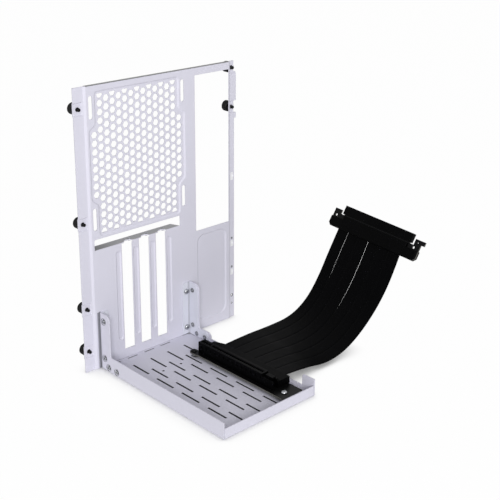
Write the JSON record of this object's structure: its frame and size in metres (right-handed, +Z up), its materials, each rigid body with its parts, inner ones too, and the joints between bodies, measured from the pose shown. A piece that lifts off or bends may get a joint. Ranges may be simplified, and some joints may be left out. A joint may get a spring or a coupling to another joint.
{
  "type": "vertical gpu bracket",
  "caption": "Folded steel holder that mounts a graphics card upright: pressed back panel with fan grille and card slots, slotted tray, riser socket and flat cable with edge plug.",
  "frame": {"origin": "middle of the bounding box, on the plane that the tray and the panel's lower edge stand on, measured without the cable and its plug", "axes": "+Z up along the panel, +Y from the tray to the panel's back, +X towards the cable"},
  "size_m": [0.299, 0.1866, 0.275],
  "materials": {
    "powder_coat": "white powder coat, fine satin",
    "nickel_screws": "nickel-plated steel",
    "black_metal": "black oxide, knurled head",
    "board": "black solder mask",
    "socket_plastic": "black moulded plastic",
    "cover_plastic": "black moulded plastic",
    "contact_metal": "gold-plated",
    "cable": "black cable film, low sheen"
  },
  "bodies": {
    "bracket": {"back_panel": "powder_coat", "tray": "powder_coat", "left_bracket": "powder_coat", "right_bracket": "powder_coat", "left_side_screws": "nickel_screws", "right_side_screws": "nickel_screws", "left_panel_screws": "nickel_screws", "right_panel_screws": "nickel_screws", "thumbscrew_left_1": "black_metal", "thumbscrew_left_2": "black_metal", "thumbscrew_left_3": "black_metal", "thumbscrew_left_4": "black_metal", "thumbscrew_right_1": "black_metal", "thumbscrew_right_2": "black_metal", "riser_board": "board", "riser_standoffs": "nickel_screws", "riser_screws": "nickel_screws", "slot_housing": "socket_plastic", "slot_contacts": "contact_metal", "riser_cover": "cover_plastic", "cable_strip_1": "cable", "cable_strip_2": "cable", "cable_strip_3": "cable", "cable_strip_4": "cable", "cable_strip_5": "cable", "cable_strip_6": "cable", "plug_board": "board", "plug_cover_front": "cover_plastic", "plug_cover_back": "cover_plastic", "plug_contacts": "contact_metal", "plug_cap": "socket_plastic"},
    "latch": {"slot_latch": "socket_plastic"}
  },
  "joints": [
    {"name": "slot_latch_hinge", "type": "hinge", "parent": "bracket", "child": "latch", "pos_m": [0.0074, -0.0592, 0.0085], "axis": [1, 0, 0], "range_deg": [0, 35]}
  ]
}
